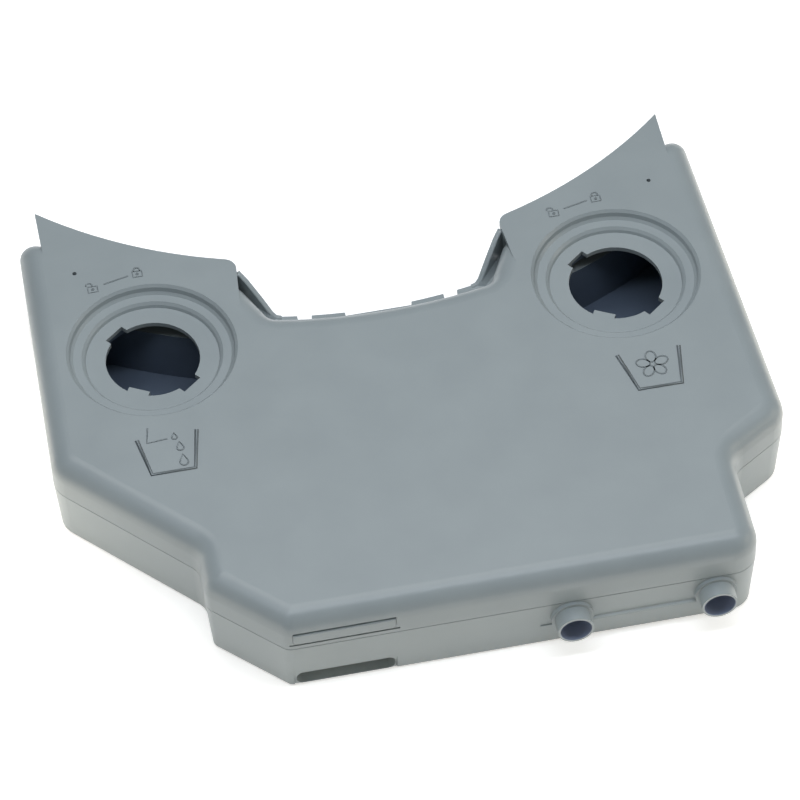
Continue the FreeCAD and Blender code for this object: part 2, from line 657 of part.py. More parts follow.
def make_lower_shell():
    """The lower moulding: floor, walls, rear shelf, the two outlets, and the notch below the catch."""
    body = new_body("lower_shell")
    outline = new_sketch(body, "outline", "XY_Plane")
    corners = FRONT_CORNERS + [RIGHT_REAR, LEFT_REAR] + LEFT_CORNERS
    draw_outline(outline, corners, {4: "recess_radius"})
    block = pad(body, outline, "block", "seam_height")
    doc.recompute()
    shell = hollow(body, lean_walls(body, block), value("seam_height"))
    round_edges(body, shell, "bottom_edge", edges_at(shell.Shape, 0.0), "base_round")
    on_floor = ("wall / 2 + base_draft", "wall / 2", None)
    add_divider(body, on_floor, ("wall / 2", "seam_height", None))
    add_shelf(body)

    lining = new_sketch(body, "catch_notch_lining", "YZ_Plane", {"z": "-catch_left_x - wall"})
    draw_outline(lining, [
        ("-front_y + wall", "wall / 2", None),
        ("-front_y + catch_notch_depth + wall", "wall / 2", None),
        ("-front_y + catch_notch_depth + wall", "catch_notch_height + wall", None),
        ("-front_y + wall", "catch_notch_height + wall", None),
    ])
    pad(body, lining, "catch_notch_block", "catch_width + 2 * wall")
    doc.recompute()
    notch = new_sketch(body, "catch_notch_section", "YZ_Plane", {"z": "-catch_left_x"})
    draw_outline(notch, [
        ("-front_y - wall", "-wall", None),
        ("-front_y + catch_notch_depth", "-wall", None),
        ("-front_y + catch_notch_depth", "catch_notch_height", None),
        ("-front_y - wall", "catch_notch_height", None),
    ])
    cut_pocket(body, notch, "catch_notch", "catch_width", Reversed=True)

    rib = new_sketch(body, "outlet_rib_section", "YZ_Plane", {"z": "outlet_left_x - rib_lead"})
    draw_outline(rib, [
        ("-front_y + wall", "rib_height", None),
        ("-front_y + rib_setback", "rib_height", None),
        ("-front_y + rib_setback", "rib_height + rib_thickness", None),
        ("-front_y + wall", "rib_height + rib_thickness", None),
    ])
    pad(body, rib, "outlet_rib", "outlet_right_x - outlet_left_x + rib_lead")
    for side, outlet_x in OUTLETS:
        add_outlet(body, side, outlet_x)
    return body


def make_valve_stem(side, outlet_x):
    """The moving part of the shut-off valve: a round head on a stem that is pushed in from the mouth."""
    body = new_body(f"{side}_valve_stem")
    section = turned_section(body, "section", outlet_x, [
        (f"{SEAT_Y} - stem_reach", "0"),
        (f"{SEAT_Y} - stem_reach", "stem_radius"),
        (HEAD_FRONT_Y, "stem_radius"),
        (HEAD_FRONT_Y, "head_radius"),
        (HEAD_BACK_Y, "head_radius"),
        (HEAD_BACK_Y, "stem_radius"),
        (f"{CAGE_BACK_Y} - cage_wall", "stem_radius"),
        (f"{CAGE_BACK_Y} - cage_wall", "0"),
    ])
    revolve(body, section, "turned")
    return body


def make_valve_seal(side, outlet_x):
    """The rubber washer that the head presses on the seat."""
    body = new_body(f"{side}_valve_seal")
    section = turned_section(body, "section", outlet_x, [
        (SEAT_Y, "stem_radius"),
        (SEAT_Y, "seal_radius"),
        (HEAD_FRONT_Y, "seal_radius"),
        (HEAD_FRONT_Y, "stem_radius"),
    ])
    revolve(body, section, "turned")
    return body


def make_valve_cage(side, outlet_x):
    """The cap pressed into the chamber: it guides the stem, holds the spring and lets the liquid in."""
    body = new_body(f"{side}_valve_cage")
    inside = "chamber_radius - cage_wall"
    guide_bore = "stem_radius + stem_clearance"
    back_inside = f"({CAGE_BACK_Y} - cage_wall)"
    guide_front = f"({CAGE_BACK_Y} - guide_length)"
    section = turned_section(body, "section", outlet_x, [
        (f"{CHAMBER_END_Y} - cage_lip", inside),
        (f"{CHAMBER_END_Y} - cage_lip", "chamber_radius"),
        (CHAMBER_END_Y, "chamber_radius"),
        (CHAMBER_END_Y, "chamber_radius + chamber_wall"),
        (f"{CHAMBER_END_Y} + cage_wall", "chamber_radius + chamber_wall"),
        (f"{CHAMBER_END_Y} + cage_wall", "chamber_radius"),
        (CAGE_BACK_Y, "chamber_radius"),
        (CAGE_BACK_Y, guide_bore),
        (guide_front, guide_bore),
        (guide_front, f"{guide_bore} + guide_wall"),
        (back_inside, f"{guide_bore} + guide_wall"),
        (back_inside, inside),
    ])
    revolve(body, section, "turned")
    doc.recompute()

    window = new_sketch(body, "window_section", "XZ_Plane", {"x": outlet_x, "z": f"-{back_inside}"})
    half = "cage_window_width / 2"
    foot = "outlet_height + chamber_radius - 2 * cage_wall"
    top = "outlet_height + chamber_radius + cage_wall"
    draw_outline(window, [
        (f"-{half}", foot, None),
        (half, foot, None),
        (half, top, None),
        (f"-{half}", top, None),
    ])
    first = cut_pocket(body, window, "window", "cage_length - 3 * cage_wall", Reversed=True)
    ring = add_feature(body, "PolarPattern", "windows", Originals=[first],
                       Axis=(section, ["Axis0"]), Angle=360.0)
    tie(ring, "Occurrences", "cage_windows")
    body.Tip = ring
    doc.recompute()
    return body


def make_valve_spring(side, outlet_x):
    """The spring between the cage and the valve head. It holds the valve shut."""
    body = new_body(f"{side}_valve_spring")
    wire = new_sketch(body, "wire_section", "YZ_Plane", {"z": outlet_x})
    draw_axis(wire, MOUTH_Y, "outlet_height", CAGE_BACK_Y, "outlet_height")
    inside, outside = "outlet_height + spring_radius - spring_wire", "outlet_height + spring_radius"
    draw_outline(wire, [
        (HEAD_BACK_Y, inside, None),
        (f"{HEAD_BACK_Y} + spring_wire", inside, None),
        (f"{HEAD_BACK_Y} + spring_wire", outside, None),
        (HEAD_BACK_Y, outside, None),
    ])
    coil = add_feature(body, "AdditiveHelix", "coil", Profile=wire, ReferenceAxis=(wire, ["Axis0"]),
                       Mode="height-turns-angle")
    tie(coil, "Height", f"{CAGE_BACK_Y} - cage_wall - {HEAD_BACK_Y} - spring_wire")
    tie(coil, "Turns", "spring_turns")
    doc.recompute()
    return body


def check_and_write(bodies):
    doc.recompute()
    failed = [thing.Name for thing in doc.Objects if "Invalid" in thing.State or "Error" in thing.State]
    if failed:
        raise RuntimeError(f"failed: {', '.join(failed)}")
    for body in bodies:
        if body.Shape.isNull() or not body.Shape.isValid() or len(body.Shape.Solids) != 1:
            raise RuntimeError(f"{body.Label} is not one sound solid")
    os.makedirs("parts", exist_ok=True)
    for body in bodies:
        body.Shape.exportStep(f"parts/{body.Label}.step")


bodies = [make_upper_shell(), make_lower_shell()]
for side, outlet_x in OUTLETS:
    for make in (make_valve_stem, make_valve_seal, make_valve_spring, make_valve_cage):
        bodies.append(make(side, outlet_x))
check_and_write(bodies)
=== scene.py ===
"""Looks of the dosing tank: two moulded shells, the moulded symbols on the top, and the outlet valves."""

import math

import bmesh
import bpy
from mathutils import Matrix, Vector


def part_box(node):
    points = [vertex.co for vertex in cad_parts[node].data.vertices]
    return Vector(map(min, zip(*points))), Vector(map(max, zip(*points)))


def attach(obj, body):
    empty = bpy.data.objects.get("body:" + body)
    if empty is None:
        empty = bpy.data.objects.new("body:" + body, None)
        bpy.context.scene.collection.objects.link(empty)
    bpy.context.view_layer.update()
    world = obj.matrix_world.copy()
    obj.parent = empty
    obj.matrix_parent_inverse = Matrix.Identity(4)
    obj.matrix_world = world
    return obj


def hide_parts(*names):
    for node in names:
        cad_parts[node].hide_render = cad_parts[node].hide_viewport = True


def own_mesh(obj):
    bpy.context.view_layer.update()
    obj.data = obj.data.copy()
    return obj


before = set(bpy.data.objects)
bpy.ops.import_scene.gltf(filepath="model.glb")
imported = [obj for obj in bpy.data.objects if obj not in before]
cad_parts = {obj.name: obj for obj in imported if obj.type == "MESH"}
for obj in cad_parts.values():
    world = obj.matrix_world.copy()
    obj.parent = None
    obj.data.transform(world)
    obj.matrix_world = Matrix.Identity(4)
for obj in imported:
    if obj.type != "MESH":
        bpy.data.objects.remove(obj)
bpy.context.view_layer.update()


# The lower shell is the trough of the tank, moulded in blue-grey polypropylene.
# Its walls lean in a little towards the floor so that it leaves the mould, and
# its tooled surface has a fine even grain. Its inside and the insides of its outlets carry painted shade.


class Wire:
    """An output socket of a node tree. Sums on it add Math nodes to that tree."""

    def __init__(self, tree, socket=None):
        self.tree = tree
        self.socket = socket

    def node(self, kind, settings=None, inputs=None, output=0):
        """Add a node: its settings first, then the values or links of its sockets."""
        made = self.tree.nodes.new(kind)
        for name, setting in (settings or {}).items():
            setattr(made, name, setting)
        for name, given in (inputs or {}).items():
            if isinstance(given, Wire):
                self.tree.links.new(given.socket, made.inputs[name])
            else:
                made.inputs[name].default_value = given
        return Wire(self.tree, made.outputs[output] if made.outputs else None)

    def sum(self, operation, first, second):
        return self.node("ShaderNodeMath", {"operation": operation}, {0: first, 1: second})

    def __add__(self, other):
        return self.sum("ADD", self, other)

    __radd__ = __add__

    def __sub__(self, other):
        return self.sum("SUBTRACT", self, other)

    def __rsub__(self, other):
        return self.sum("SUBTRACT", other, self)

    def __mul__(self, other):
        return self.sum("MULTIPLY", self, other)

    __rmul__ = __mul__

    def clamp(self):
        return self.node("ShaderNodeClamp", None, {"Value": self})

    def above(self, edge, steepness):
        """0 up to an edge, then rising to 1."""
        return ((self - edge) * steepness).clamp()

    def below(self, edge, steepness):
        """0 down to an edge, then rising to 1."""
        return ((edge - self) * steepness).clamp()

    def between(self, low, high):
        """Colour from low to high as this value goes from 0 to 1."""
        mix = {"data_type": "RGBA"}
        return self.node("ShaderNodeMix", mix, {0: self, 6: low, 7: high}, 2)


def paint(red, green, blue):
    """A colour given as it shows on a screen, 0 to 255, as the linear colour that a shader takes."""
    shares = [v / 255 for v in (red, green, blue)]
    return [v / 12.92 if v <= 0.04045 else ((v + 0.055) / 1.055) ** 2.4 for v in shares] + [1.0]


def new_finish(name):
    """An empty material, and a wire to start its node tree from."""
    finish = bpy.data.materials.new(name)
    finish.use_nodes = True
    finish.node_tree.nodes.clear()
    return finish, Wire(finish.node_tree)


def speckle(wire, place, scale, detail=2.0, roughness=0.5):
    inputs = {"Vector": place, "Scale": scale, "Detail": detail, "Roughness": roughness}
    return wire.node("ShaderNodeTexNoise", None, inputs, "Fac")


def relief(wire, height, strength, depth):
    """A bump in the surface, at most so many metres deep."""
    return wire.node("ShaderNodeBump", None, {"Strength": strength, "Distance": depth, "Height": height})


def end_finish(wire, **sockets):
    surface = wire.node("ShaderNodeBsdfPrincipled", None, sockets)
    wire.node("ShaderNodeOutputMaterial", None, {"Surface": surface})


def dress(node, finish):
    """Give a CAD node one finish all over."""
    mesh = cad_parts[node].data
    mesh.materials.clear()
    mesh.materials.append(finish)


# Each border of the painted shade inside the tank: its edge, in metres or square metres, and how steeply it
# fades there.
INSIDE_CENTRE = Vector((0.0, -0.05, 0.02))
TURNED_IN = (0.0, 900.0)
INSIDE_TOP, INSIDE_FLOOR, INSIDE_FRONT = (0.0385, 1500.0), (0.0008, 2000.0), (-0.150, 1000.0)
RECESS_SIDE, RECESS_FRONT = (0.070 ** 2, 10000.0), (0.009, 1000.0)
BORE_SIDE, BORE_BACK = (0.0071 ** 2, 2e6), (-0.10, 500.0)
OUTLETS = ((0.0506, 0.0194), (0.1153, 0.0194))

CLOUD_SCALE, GRAIN_SCALE, PORE_SCALE = 38.0, 1900.0, 620.0
PLASTIC_DEEP, PLASTIC_PALE = paint(139, 148, 152), paint(154, 163, 166)
# Painted shade: darker blues painted on the walls inside the tank and inside the outlets.
PAINTED_SHADE_DEEP, PAINTED_SHADE_PALE, PAINTED_SHADE_IN_BORE = paint(78, 90, 107), paint(96, 109, 127), paint(128, 139, 163)
PLASTIC_IOR = 1.49


def painted_inside_shade(wire, place):
    """How much painted shade lies on walls that face the middle of the tank below its top, and inside each
    outlet.
    """
    away = wire.node("ShaderNodeVectorMath", {"operation": "SUBTRACT"}, {0: place, 1: INSIDE_CENTRE})
    facing = wire.node("ShaderNodeTexCoord", output="Normal")
    dot = {"operation": "DOT_PRODUCT"}
    outward = wire.node("ShaderNodeVectorMath", dot, {0: facing, 1: away}, "Value")
    axes = wire.node("ShaderNodeSeparateXYZ", None, {0: place})
    x, y, z = (Wire(wire.tree, socket) for socket in axes.socket.node.outputs)
    in_recess = (x * x).below(*RECESS_SIDE) * y.above(*RECESS_FRONT)
    painted_shade = outward.below(*TURNED_IN) * z.below(*INSIDE_TOP) * z.above(*INSIDE_FLOOR)
    painted_shade = painted_shade * y.above(*INSIDE_FRONT) * (1.0 - in_recess)
    bore_shade = 0.0
    for outlet_x, outlet_z in OUTLETS:
        side, rise = x - outlet_x, z - outlet_z
        bore_shade = bore_shade + (side * side + rise * rise).below(*BORE_SIDE) * y.below(*BORE_BACK)
    return painted_shade, bore_shade


def tank_plastic():
    """Blue-grey polypropylene: slight clouding in the colour, tooled grain, half-matte, with painted shade
    inside.
    """
    finish, wire = new_finish("tank_plastic")
    place = wire.node("ShaderNodeTexCoord", output="Object")
    cloud = speckle(wire, place, CLOUD_SCALE, detail=3.0)
    grain = speckle(wire, place, GRAIN_SCALE, detail=3.0, roughness=0.6)
    pores = speckle(wire, place, PORE_SCALE, detail=1.0)
    outside = (cloud * 0.7 + grain * 0.3).clamp().between(PLASTIC_DEEP, PLASTIC_PALE)
    shade_in_tank, shade_in_bore = painted_inside_shade(wire, place)
    # Painted shade: the inside walls and the insides of the outlets take the darker blues in place of the
    # plastic's colour.
    painted_shade = cloud.between(PAINTED_SHADE_DEEP, PAINTED_SHADE_PALE)
    colour = shade_in_bore.between(shade_in_tank.between(outside, painted_shade), PAINTED_SHADE_IN_BORE)
    bump = relief(wire, grain * 0.7 + pores * 0.3, strength=0.16, depth=0.00012)
    rough = 0.28 + cloud * 0.06 + grain * 0.06
    end_finish(wire, **{"Base Color": colour, "Roughness": rough, "Normal": bump, "IOR": PLASTIC_IOR})
    return finish


shell_finish = tank_plastic()
dress("lower_shell", shell_finish)


# Below the catch, a level groove runs along the bottom edge of the front wall, for a finger or a hook.
# Its frame is moulded with the lower shell: a thin sill below and round ends, flush with the leaning wall.

FRONT_Y, SEAM_Z, BASE_DRAFT = -164.8, 29.1, 1.9
WALL_LEAN = BASE_DRAFT / SEAM_Z
GROOVE_X, GROOVE_Z, GROOVE_BACK_Y = (-73.6, -27.4), (0.05, 10.6), -157.85
GROOVE_SILL, GROOVE_END, GROOVE_ROUND, GROOVE_ROUND_STEPS = 1.3, 1.0, 3.4, 6
EDGE_ROUND, FRAME_PROUD = 1.5, 0.01


def moulded_piece(name, loops, closed=False):
    """A solid part of the tank through loops of points in millimetres, with its faces turned outwards.

    A closed one joins its last loop to the first. Any other has its end loops filled.
    """
    count = len(loops[0])
    starts = [i * count for i in range(len(loops))]
    pairs = list(zip(starts, starts[1:]))
    ends = []
    if closed:
        pairs.append((starts[-1], starts[0]))
    else:
        ends = [tuple(range(start, start + count)) for start in (starts[0], starts[-1])]
    sides = [(a + i, a + (i + 1) % count, b + (i + 1) % count, b + i) for a, b in pairs for i in range(count)]
    points = [[v / 1000 for v in point] for loop in loops for point in loop]
    mesh = bpy.data.meshes.new(name)
    mesh.from_pydata(points, [], sides + ends)
    shape = bmesh.new()
    shape.from_mesh(mesh)
    bmesh.ops.remove_doubles(shape, verts=shape.verts, dist=1e-7)
    bmesh.ops.dissolve_degenerate(shape, edges=shape.edges, dist=1e-7)
    bmesh.ops.recalc_face_normals(shape, faces=shape.faces)
    shape.to_mesh(mesh)
    shape.free()
    mesh.materials.append(shell_finish)
    piece = bpy.data.objects.new(name, mesh)
    bpy.context.scene.collection.objects.link(piece)
    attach(piece, "tank")


def groove_frame():
    """Two rims, the round one inside the square one, at the front and at the back of the groove."""
    west, east = GROOVE_X
    low, high = GROOVE_Z
    inner_corners = [(east - GROOVE_END, high - GROOVE_END), (west + GROOVE_END, high - GROOVE_END),
                     (west + GROOVE_END, low + GROOVE_SILL), (east - GROOVE_END, low + GROOVE_SILL)]
    outer_corners = [(east, high), (west, high), (west, low), (east, low)]
    inner, outer = [], []
    for quarter, ((x, z), corner) in enumerate(zip(inner_corners, outer_corners)):
        centre_x = x - GROOVE_ROUND if x > (west + east) / 2 else x + GROOVE_ROUND
        centre_z = z - GROOVE_ROUND if z > (low + high) / 2 else z + GROOVE_ROUND
        for step in range(GROOVE_ROUND_STEPS + 1):
            turn = math.radians(90.0 * quarter + 90.0 / GROOVE_ROUND_STEPS * step)
            inner.append((centre_x + GROOVE_ROUND * math.cos(turn), centre_z + GROOVE_ROUND * math.sin(turn)))
            outer.append(corner)

    def front(x, z):
        lift = max(EDGE_ROUND - z, 0.0)
        tuck = EDGE_ROUND - math.sqrt(EDGE_ROUND ** 2 - lift ** 2)
        return x, FRONT_Y + WALL_LEAN * (SEAM_Z - z) + tuck - FRAME_PROUD, z

    loops = [[front(*point) for point in outer], [front(*point) for point in inner],
             [(x, GROOVE_BACK_Y, z) for x, z in inner], [(x, GROOVE_BACK_Y, z) for x, z in outer]]
    moulded_piece("catch_groove_frame", loops, closed=True)


groove_frame()


# A fine rib joins the two outlets along the front wall. It is moulded with the lower shell, and its sloping
# upper face catches the light from above as a pale line.

RIB_X = (58.0, 107.5)
RIB_SECTION = [(-163.4, 13.4), (-165.1, 13.5), (-165.3, 13.8), (-164.9, 14.5), (-163.4, 15.0)]

moulded_piece("outlet_rib", [[(x, y, z) for y, z in RIB_SECTION] for x in RIB_X])


# Behind each outlet sits a shut-off valve: a turned stem with a rubber seal ring,
# pushed shut by a coil spring of round steel wire that rests in a slotted cage.
# The stem and cage are smooth dark plastic, darker than the tank.

VALVE_DEEP, VALVE_PALE = paint(58, 66, 78), paint(74, 82, 94)
RUBBER_DEEP, RUBBER_BLOOM = paint(24, 24, 26), paint(52, 53, 56)
STEEL_DEEP, STEEL_PALE = paint(176, 178, 182), paint(208, 209, 212)
STEEL_STREAKS = (300.0, 9000.0, 300.0)
SPRING_WIRE, SPRING_TURNS, VALVE_TRAVEL = 0.0006, 5.0, 0.004
STEPS_IN_TURN, STEPS_ROUND_WIRE = 28, 8


def valve_plastic():
    finish, wire = new_finish("valve_plastic")
    place = wire.node("ShaderNodeTexCoord", output="Object")
    cloud = speckle(wire, place, 160.0)
    grain = speckle(wire, place, 3200.0)
    colour = (cloud * 0.6 + grain * 0.4).clamp().between(VALVE_DEEP, VALVE_PALE)
    bump = relief(wire, grain, strength=0.10, depth=0.00006)
    rough = 0.30 + cloud * 0.12
    end_finish(wire, **{"Base Color": colour, "Roughness": rough, "Normal": bump, "IOR": 1.48})
    return finish


def seal_rubber():
    """Black moulded rubber with a faint pale bloom."""
    finish, wire = new_finish("seal_rubber")
    place = wire.node("ShaderNodeTexCoord", output="Object")
    bloom = speckle(wire, place, 420.0, detail=4.0, roughness=0.7)
    colour = bloom.between(RUBBER_DEEP, RUBBER_BLOOM)
    bump = relief(wire, bloom, strength=0.2, depth=0.00008)
    end_finish(wire, **{"Base Color": colour, "Roughness": 0.62 + bloom * 0.2, "Normal": bump, "IOR": 1.52})
    return finish


def spring_steel():
    """Drawn stainless wire with fine streaks along the draw."""
    finish, wire = new_finish("spring_steel")
    place = wire.node("ShaderNodeTexCoord", output="Object")
    stretched = wire.node("ShaderNodeMapping", None, {"Vector": place, "Scale": STEEL_STREAKS})
    streaks = speckle(wire, stretched, 1.0, detail=3.0)
    colour = streaks.between(STEEL_DEEP, STEEL_PALE)
    end_finish(wire, **{"Base Color": colour, "Metallic": 1.0, "Roughness": 0.24 + streaks * 0.16})
    return finish


def new_tree(name, inputs):
    """A Geometry Nodes tree: the tree, a wire to start from, and a wire from each named input."""
    tree = bpy.data.node_groups.new(name, "GeometryNodeTree")
    for label, kind in inputs.items():
        tree.interface.new_socket(label, in_out="INPUT", socket_type=f"NodeSocket{kind}")
    tree.interface.new_socket("Shape", in_out="OUTPUT", socket_type="NodeSocketGeometry")
    given = tree.nodes.new("NodeGroupInput")
    return tree, Wire(tree), {socket.name: Wire(tree, socket) for socket in given.outputs if socket.name}


def end_tree(wire, shape, finish):
    whole = wire.node("GeometryNodeRealizeInstances", None, {"Geometry": shape})
    painted = wire.node("GeometryNodeSetMaterial", None, {"Geometry": whole, "Material": finish})
    wire.node("NodeGroupOutput", None, {"Shape": painted})


def grown_piece(name, tree, start, given):
    """A plain mesh piece that a Geometry Nodes tree makes from a start mesh, with its named inputs set."""
    piece = bpy.data.objects.new(name, start)
    bpy.context.scene.collection.objects.link(piece)
    growth = piece.modifiers.new("growth", "NODES")
    growth.node_group = tree
    for socket in tree.interface.items_tree:
        if socket.in_out == "INPUT" and socket.name in given:
            growth[socket.identifier] = given[socket.name]
    grown = piece.evaluated_get(bpy.context.evaluated_depsgraph_get())
    mesh = bpy.data.meshes.new_from_object(grown)
    piece.modifiers.remove(growth)
    piece.data = mesh
    return piece


def coil_tree():
    """Geometry Nodes: round wire wound into a coil along the axis of an outlet."""
    tree, wire, asked = new_tree("wound_coil", {
        "Start": "Geometry", "Coil radius": "Float", "Wire radius": "Float", "Length": "Float",
        "Turns": "Float", "Foot": "Vector", "Finish": "Material"})
    sizes = {"Resolution": STEPS_IN_TURN, "Rotations": asked["Turns"], "Start Radius": asked["Coil radius"],
             "End Radius": asked["Coil radius"], "Height": asked["Length"]}
    path = wire.node("GeometryNodeCurveSpiral", None, sizes)
    section = {"Resolution": STEPS_ROUND_WIRE, "Radius": asked["Wire radius"]}
    round_wire = wire.node("GeometryNodeCurvePrimitiveCircle", None, section)
    winding = {"Curve": path, "Profile Curve": round_wire, "Fill Caps": True}
    wound = wire.node("GeometryNodeCurveToMesh", None, winding)
    lie = {"Geometry": wound, "Translation": asked["Foot"], "Rotation": (-math.pi / 2, 0.0, 0.0)}
    laid = wire.node("GeometryNodeTransform", None, lie)
    smooth = wire.node("GeometryNodeSetShadeSmooth", None, {"Geometry": laid})
    end_tree(wire, smooth, asked["Finish"])
    return tree


stem_finish = valve_plastic()
seal_finish = seal_rubber()
wire_finish = spring_steel()
spring_tree = coil_tree()
for valve in ("detergent_valve", "softener_valve"):
    dress(f"{valve}_stem", stem_finish)
    dress(f"{valve}_cage", stem_finish)
    dress(f"{valve}_seal", seal_finish)
    dress(f"{valve}_spring", wire_finish)
    low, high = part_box(f"{valve}_spring")
    middle, length = (low + high) / 2, high.y - low.y
    sizes = {"Coil radius": (high.x - low.x - SPRING_WIRE) / 2, "Wire radius": SPRING_WIRE / 2,
             "Length": length - SPRING_WIRE, "Turns": SPRING_TURNS,
             "Foot": (middle.x, low.y + SPRING_WIRE / 2, middle.z), "Finish": wire_finish}
    spring = grown_piece(f"{valve}_coil", spring_tree, bpy.data.meshes.new(f"{valve}_coil"), sizes)
    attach(spring, "tank")
    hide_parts(f"{valve}_spring")
    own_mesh(spring)


# The upper shell closes the tank: a half-matte moulding in the same plastic, with
# two sunken filler dishes and a thin flange behind them.

dress("upper_shell", shell_finish)


# The catch on the front wall is a bar with a bevelled edge, set over the slot.
# It is moulded with the upper shell and leaves a narrow gap below the wall above it.

CATCH_X, CATCH_Z = (-73.2, -27.8), (32.7, 38.9)
CATCH_PROUD, CATCH_BEVEL, CATCH_CORNER, CATCH_ROOT = 0.35, 0.4, 1.5, 1.7


def catch_outline(inset):
    west, east = CATCH_X[0] + inset, CATCH_X[1] - inset
    low, high = CATCH_Z[0] + inset, CATCH_Z[1] - inset
    return [(east, high), (west, high), (west, low + CATCH_CORNER), (west + CATCH_CORNER, low),
            (east - CATCH_CORNER, low), (east, low + CATCH_CORNER)]


catch_levels = ((0.0, FRONT_Y + CATCH_ROOT), (0.0, FRONT_Y), (CATCH_BEVEL, FRONT_Y - CATCH_PROUD))
moulded_piece("catch_bar", [[(x, y, z) for x, z in catch_outline(inset)] for inset, y in catch_levels])


# At each side of the rear recess a thin wall sweeps from the corner of the flange down to the shelf.
# It is moulded with the upper shell, and its bevelled rim shows as a pale line above a dark pocket.

CORNER_WALL_PATH = [
    (68.0, 34.1, 46.2), (65.6, 37.2, 46.3), (62.6, 38.4, 46.9), (60.6, 37.2, 46.6),
    (58.5, 34.9, 44.6), (56.3, 32.2, 41.9), (54.0, 29.5, 38.9), (52.2, 27.4, 36.4),
    (50.5, 25.3, 34.0), (48.9, 23.6, 31.8), (47.0, 22.5, 30.2), (44.6, 22.3, 29.4),
]
WALL_HALF, WALL_BASE_Z, RIM_BEVEL = 1.2, 27.9, 0.4
SLIM_POINTS, SLIM_FOOT, WIDE_FOOT = 3, 1.5, 3.4
FOOT_Z, FOOT_BELOW_RIM = 29.0, 0.6
SHOULDER_Z, SHOULDER_BELOW_RIM = 31.5, 0.5


def corner_wall(name, sign):
    """Upright sections along the path. Past the flange their inner foot is wide, and fills the corner."""
    path = [Vector(point) for point in CORNER_WALL_PATH]
    loops = []
    for i, point in enumerate(path):
        ahead = path[min(i + 1, len(path) - 1)] - path[max(i - 1, 0)]
        inward = Vector((-ahead.y, ahead.x)).normalized()
        foot = SLIM_FOOT if i < SLIM_POINTS else WIDE_FOOT
        top = point.z
        section = [(-WALL_HALF, WALL_BASE_Z), (foot, WALL_BASE_Z), (foot, min(FOOT_Z, top - FOOT_BELOW_RIM)),
                   (WALL_HALF, min(SHOULDER_Z, top - SHOULDER_BELOW_RIM)), (WALL_HALF, top - RIM_BEVEL),
                   (WALL_HALF - RIM_BEVEL, top), (RIM_BEVEL - WALL_HALF, top), (-WALL_HALF, top - RIM_BEVEL)]
        loops.append([(sign * (point.x + inward.x * u), point.y + inward.y * u, z) for u, z in section])
    moulded_piece(name, loops)


corner_wall("right_corner_wall", 1)
corner_wall("left_corner_wall", -1)


# Symbols are moulded into the top as low strokes: an open and a closed padlock at
# each filler, joined by a line, and a wash tub for each compartment.
# A stroke follows its drawn path, with sloping flanks painted a little darker as painted shade.

MARK_HEIGHT = 0.00016
MARK_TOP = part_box("upper_shell")[1].z
FINE_FOOT, FINE_CREST = 0.00062, 0.00024
BROAD_FOOT, BROAD_CREST = 0.0019, 0.0012
# Painted shade: the flank colour is a darker copy of the crest colour, for faces that slope away from up.
FLANK_PAINTED_SHADE, CREST_COLOUR = paint(126, 135, 140), paint(147, 156, 160)
LOCKS = (("detergent", (-128.5, 41.5), (-107.1, 46.4)), ("softener", (87.7, 42.0), (108.7, 46.9)))
LOCK_LINE = (0.25, 0.80)
LOCK_HALF, LOCK_FOOT, LOCK_SHOULDER = 2.2, 2.4, 1.0
SHACKLE_WIDTH, SHACKLE_HEIGHT, SHACKLE_RISE, SHACKLE_SWING = 2.9, 3.0, 1.6, 1.4
KEYHOLE, KEYHOLE_DROP = 0.9, 0.7
PETAL_PLACE, PETAL_LENGTH, PETAL_WIDTH = 0.58, 0.84, 0.62
DETERGENT_TUB = [(-122.8, -51.0), (-119.2, -71.6), (-99.6, -71.6), (-95.6, -50.3)]
SOFTENER_TUB = [(97.2, -48.1), (102.5, -69.5), (122.3, -69.6), (125.6, -48.2)]
SCOOP = [(-117.0, -45.0), (-118.6, -53.6), (-109.2, -52.8)]
DROPS = ((-106.0, -52.0, 2.4, 3.6), (-104.4, -58.0, 3.2, 5.0), (-104.0, -66.0, 3.8, 6.4))


def stroke_tree():
    """Geometry Nodes: a low ridge along every path of the drawing."""
    tree, wire, asked = new_tree("moulded_stroke", {
        "Drawing": "Geometry", "Foot width": "Float", "Crest width": "Float", "Height": "Float",
        "Finish": "Material"})
    path = wire.node("GeometryNodeMeshToCurve", None, {"Mesh": asked["Drawing"]})
    level = wire.node("GeometryNodeSetCurveNormal", {"mode": "Z_UP"}, {"Curve": path})
    sizes = {"Bottom Width": asked["Foot width"], "Top Width": asked["Crest width"],
             "Height": asked["Height"], "Offset": 0.0}
    ridge = wire.node("GeometryNodeCurvePrimitiveQuadrilateral", {"mode": "TRAPEZOID"}, sizes)
    sweep = {"Curve": level, "Profile Curve": ridge, "Fill Caps": True}
    end_tree(wire, wire.node("GeometryNodeCurveToMesh", None, sweep), asked["Finish"])
    return tree


def mark_plastic():
    """The tank's plastic on the strokes, with painted shade on their flanks."""
    finish, wire = new_finish("mark_plastic")
    place = wire.node("ShaderNodeTexCoord", output="Object")
    normal = wire.node("ShaderNodeTexCoord", output="Normal")
    facing = wire.node("ShaderNodeSeparateXYZ", None, {0: normal}, "Z")
    grain = speckle(wire, place, GRAIN_SCALE, detail=3.0, roughness=0.6)
    # Painted shade: faces turned away from straight up take the darker flank colour.
    crest = (facing * 4.0 - 3.0 + grain * 0.1).clamp()
    colour = crest.between(FLANK_PAINTED_SHADE, CREST_COLOUR)
    end_finish(wire, **{"Base Color": colour, "Roughness": 0.44 + grain * 0.06, "IOR": PLASTIC_IOR})
    return finish


def ring_path(x, y, width, depth, steps=20, start=0.0, sweep=360.0):
    """Points on an oval, or on part of one."""
    turn = [math.radians(start + sweep * i / steps) for i in range(steps if sweep == 360.0 else steps + 1)]
    return [(x + width / 2 * math.cos(t), y + depth / 2 * math.sin(t)) for t in turn]


def drop_path(x, y, width, depth):
    """A falling drop: round below, pointed above."""
    bowl = ring_path(x, y - depth * 0.2, width, depth * 0.6, steps=12, start=150.0, sweep=240.0)
    return bowl + [(x, y + depth / 2)]


